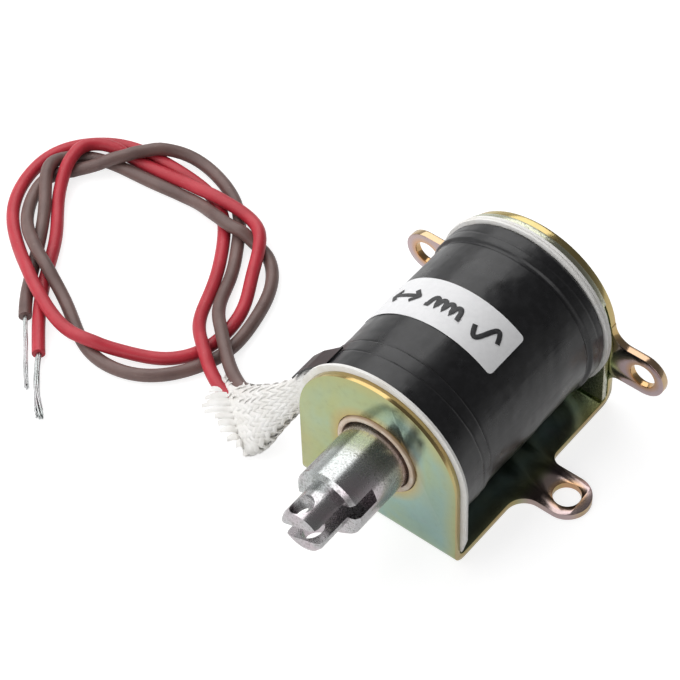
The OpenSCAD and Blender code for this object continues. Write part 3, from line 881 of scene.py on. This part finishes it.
def strippedEnd(name, node, facts, seed):
    dice = random.Random(seed)
    route = smoothRoute([onBench(p) for p in facts["route"]], 8)
    data = bpy.data.curves.new(name, "CURVE")
    data.dimensions = "3D"
    data.bevel_depth = facts["strand"] * mm
    data.bevel_resolution = 2
    data.use_fill_caps = True
    for strand in range(7):
        spline = data.splines.new("POLY")
        keep = len(route) - (dice.randint(0, 3) if strand else 0)
        spline.points.add(keep - 1)
        for i in range(keep):
            t = i / (len(route) - 1)
            heading = (route[min(i + 1, len(route) - 1)] - route[max(i - 1, 0)]).normalized()
            side = heading.cross(Vector((0, 0, 1))).normalized()
            up = side.cross(heading)
            ring = 0 if strand == 0 else facts["ring"] + facts["splay"] * smoothStep(t, 0.6, 1.0) * (0.2 + 0.35 * dice.random())
            angle = math.tau * (strand / 6 + facts["turns"] * t)
            place = route[i] + (side * math.cos(angle) + up * math.sin(angle)) * ring * mm
            place.z = max(place.z, facts["strand"] * mm)
            spline.points[i].co = (*place, 1)
    piece = meshPiece(name, fromCurve(data), bodyHousing, 60)
    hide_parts(node)
    wear(piece, "tinned_wire")
    return piece


redEnd = strippedEnd("redStrands", "red_lead_end", strippedEnds["red"], 3)
brownEnd = strippedEnd("brownStrands", "brown_lead_end", strippedEnds["brown"], 5)
print("stripped ends laid")


# floor, backdrop and studio light
studio = {
    "floorColour": (0.86, 0.86, 0.86),
    "floorGlow": 0.8,
    "shadowShare": 0.4,
    "mirrorShare": 0.55,
    "room": 0.15,
    "horizon": 0.3,
    "leftHorizon": 0.9,
    "lamps": [
        {"name": "softbox", "place": (-0.34, 0.02, 0.5), "aim": (-0.02, 0.02, 0.01), "size": (1.3, 0.62), "power": 5.2},
        {"name": "fill", "place": (0.1, -0.9, 0.5), "aim": (-0.02, 0, 0.01), "size": (0.9, 0.4), "power": 2.2},
    ],
}


def makeFloor():
    bm = bmesh.new()
    bmesh.ops.create_grid(bm, x_segments=1, y_segments=1, size=3)
    mesh = bpy.data.meshes.new("floor")
    bm.to_mesh(mesh)
    bm.free()
    floor = bpy.data.objects.new("floor", mesh)
    floor.location.z = -0.05 * mm
    scene.collection.objects.link(floor)
    material, tree, shader = newMaterial("paleFloor")
    feed(tree, shader, Base_Color=(*studio["floorColour"], 1), Roughness=0.9)
    shader.inputs["Specular IOR Level"].default_value = 0.0
    paths = addNode(tree, "ShaderNodeLightPath")
    mirrored = sums(tree, "MULTIPLY", paths.outputs["Is Glossy Ray"], studio["mirrorShare"])
    seen = sums(tree, "MAXIMUM", sums(tree, "MAXIMUM", paths.outputs["Is Camera Ray"], mirrored), paths.outputs["Is Transmission Ray"])
    grey = addNode(tree, "ShaderNodeBsdfDiffuse")
    feed(tree, grey, Color=(studio["shadowShare"],) * 3 + (1,))
    glow = addNode(tree, "ShaderNodeEmission")
    feed(tree, glow, Color=(1, 1, 1, 1), Strength=studio["floorGlow"])
    both = addNode(tree, "ShaderNodeAddShader")
    tree.links.new(grey.outputs[0], both.inputs[0])
    tree.links.new(glow.outputs[0], both.inputs[1])
    mixed = addNode(tree, "ShaderNodeMixShader")
    tree.links.new(seen, mixed.inputs[0])
    tree.links.new(shader.outputs[0], mixed.inputs[1])
    tree.links.new(both.outputs[0], mixed.inputs[2])
    tree.links.new(mixed.outputs[0], tree.nodes["Material Output"].inputs["Surface"])
    mesh.materials.append(material)


def makeWorld():
    world = bpy.data.worlds.new("studio")
    scene.world = world
    world.use_nodes = True
    tree = world.node_tree
    back = tree.nodes["Background"]
    paths = addNode(tree, "ShaderNodeLightPath")
    direction = feed(tree, addNode(tree, "ShaderNodeSeparateXYZ"), Vector=addNode(tree, "ShaderNodeTexCoord").outputs["Generated"])
    side = spread(tree, direction.outputs[0], -0.7, 0.2, studio["leftHorizon"], studio["horizon"])
    low = spread(tree, direction.outputs[2], 0.1, 0.5, side, studio["room"])
    dimmed = feed(tree, addNode(tree, "ShaderNodeCombineXYZ"), X=low, Y=low, Z=low).outputs[0]
    feed(tree, back, Color=blendColour(tree, paths.outputs["Is Camera Ray"], dimmed, (1.0, 1.0, 1.0)), Strength=1.0)


def makeLamp(facts):
    data = bpy.data.lights.new(facts["name"], "AREA")
    data.shape = "RECTANGLE"
    data.size, data.size_y = facts["size"]
    data.energy = facts["power"]
    lamp = bpy.data.objects.new(facts["name"], data)
    lamp.location = facts["place"]
    aim = Vector(facts["aim"]) - lamp.location
    lamp.rotation_euler = aim.to_track_quat("-Z", "Y").to_euler()
    scene.collection.objects.link(lamp)


makeFloor()
makeWorld()
for facts in studio["lamps"]:
    makeLamp(facts)
print("studio lit")



def shownBox():
    view = bpy.context.evaluated_depsgraph_get()
    low, high = Vector((9, 9, 9)), Vector((-9, -9, -9))
    for piece in scene.objects:
        if piece.type not in ("MESH", "CURVE") or piece.hide_render or piece.name == "floor":
            continue
        shown = piece.evaluated_get(view)
        for vert in shown.to_mesh().vertices:
            place = shown.matrix_world @ vert.co
            low = Vector(map(min, low, place))
            high = Vector(map(max, high, place))
        shown.to_mesh_clear()
    return [list(low), list(high)]


{"cad": cadBox, "visual": shownBox()}
